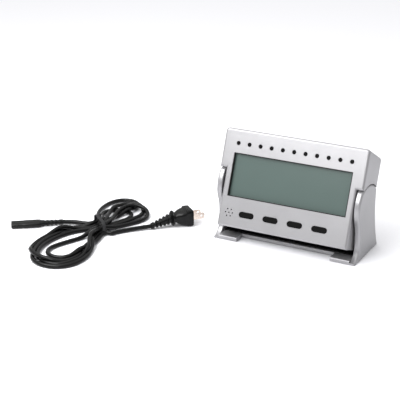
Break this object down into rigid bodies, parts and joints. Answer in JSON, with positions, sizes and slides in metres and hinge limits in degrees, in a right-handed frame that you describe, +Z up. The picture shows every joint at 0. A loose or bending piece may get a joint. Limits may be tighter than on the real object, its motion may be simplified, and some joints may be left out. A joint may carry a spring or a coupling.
{
  "type": "desk round timer",
  "caption": "Desk round timer: tilting head with blank display, phase lamps and keys, held between two stand arms; detachable mains lead lies beside it.",
  "frame": {"origin": "on the surface the stand rests on, straight below the head's tilt axis, in the middle of the object's box without its lead", "axes": "+Z up, +Y to the back, +X to the right of someone facing the display"},
  "size_m": [0.4304, 0.2517, 0.133],
  "materials": {
    "silver_case": "silver paint on ABS, fine satin grain",
    "black_plastic": "satin",
    "key_black": "satin",
    "lamp_dark": "smoked gloss",
    "display_glass": "blank grey-green liquid crystal under clear glass",
    "guide_white": "satin",
    "board_green": "solder mask",
    "led_red": "clear tint",
    "rubber": "matte",
    "steel": "zinc plated",
    "capacitor_sleeve": "sleeve",
    "brass": "nickel plated",
    "lead_black": "semi-gloss flexible vinyl"
  },
  "bodies": {
    "stand": {"base_plate": "silver_case", "left_arm": "silver_case", "right_arm": "silver_case", "cradle_tray": "black_plastic", "rubber_feet": "rubber", "base_screws": "steel", "pivot_pins": "steel", "pivot_clips": "steel", "friction_washers": "rubber", "lead_connector": "lead_black", "connector_relief": "lead_black", "lead_from_connector": "lead_black", "lead_hank": "lead_black", "lead_tie": "lead_black", "lead_to_plug": "lead_black", "plug_strain_relief": "lead_black", "plug_body": "lead_black", "plug_blades": "brass"},
    "head": {"board_screws": "steel", "capacitors": "capacitor_sleeve", "case_screws": "steel", "cell_contacts": "steel", "coin_cell": "steel", "display_board": "board_green", "display_frame": "black_plastic", "display_glass": "display_glass", "front_bezel": "silver_case", "inlet_contacts": "brass", "inlet_socket": "black_plastic", "key_board": "board_green", "key_switches": "black_plastic", "lamp_leds": "led_red", "lamp_windows": "lamp_dark", "light_guide": "guide_white", "main_board": "board_green", "main_board_screws": "steel", "rear_shell": "silver_case", "speaker_basket": "steel", "speaker_cone": "black_plastic", "speaker_magnet": "steel", "timer_chip": "black_plastic", "transformer_coil": "black_plastic", "transformer_core": "steel"},
    "key_1": {"key_cap_1": "key_black"},
    "key_2": {"key_cap_2": "key_black"},
    "key_3": {"key_cap_3": "key_black"},
    "key_4": {"key_cap_4": "key_black"},
    "battery_cover": {"battery_door": "silver_case"}
  },
  "joints": [
    {"name": "head_tilt", "type": "hinge", "parent": "stand", "child": "head", "pos_m": [0, 0, 0.0465], "axis": [-1, 0, 0], "range_deg": [-20, 20]},
    {"name": "key_1_press", "type": "slide", "parent": "head", "child": "key_1", "axis": [0, 0.9336, -0.3584], "range_m": [0, 0.001], "stiffness_N_per_m": 900},
    {"name": "key_2_press", "type": "slide", "parent": "head", "child": "key_2", "axis": [0, 0.9336, -0.3584], "range_m": [0, 0.001], "stiffness_N_per_m": 900},
    {"name": "key_3_press", "type": "slide", "parent": "head", "child": "key_3", "axis": [0, 0.9336, -0.3584], "range_m": [0, 0.001], "stiffness_N_per_m": 900},
    {"name": "key_4_press", "type": "slide", "parent": "head", "child": "key_4", "axis": [0, 0.9336, -0.3584], "range_m": [0, 0.001], "stiffness_N_per_m": 900},
    {"name": "battery_door_slide", "type": "slide", "parent": "head", "child": "battery_cover", "axis": [0, 0.3584, 0.9336], "range_m": [0, 0.02]}
  ]
}
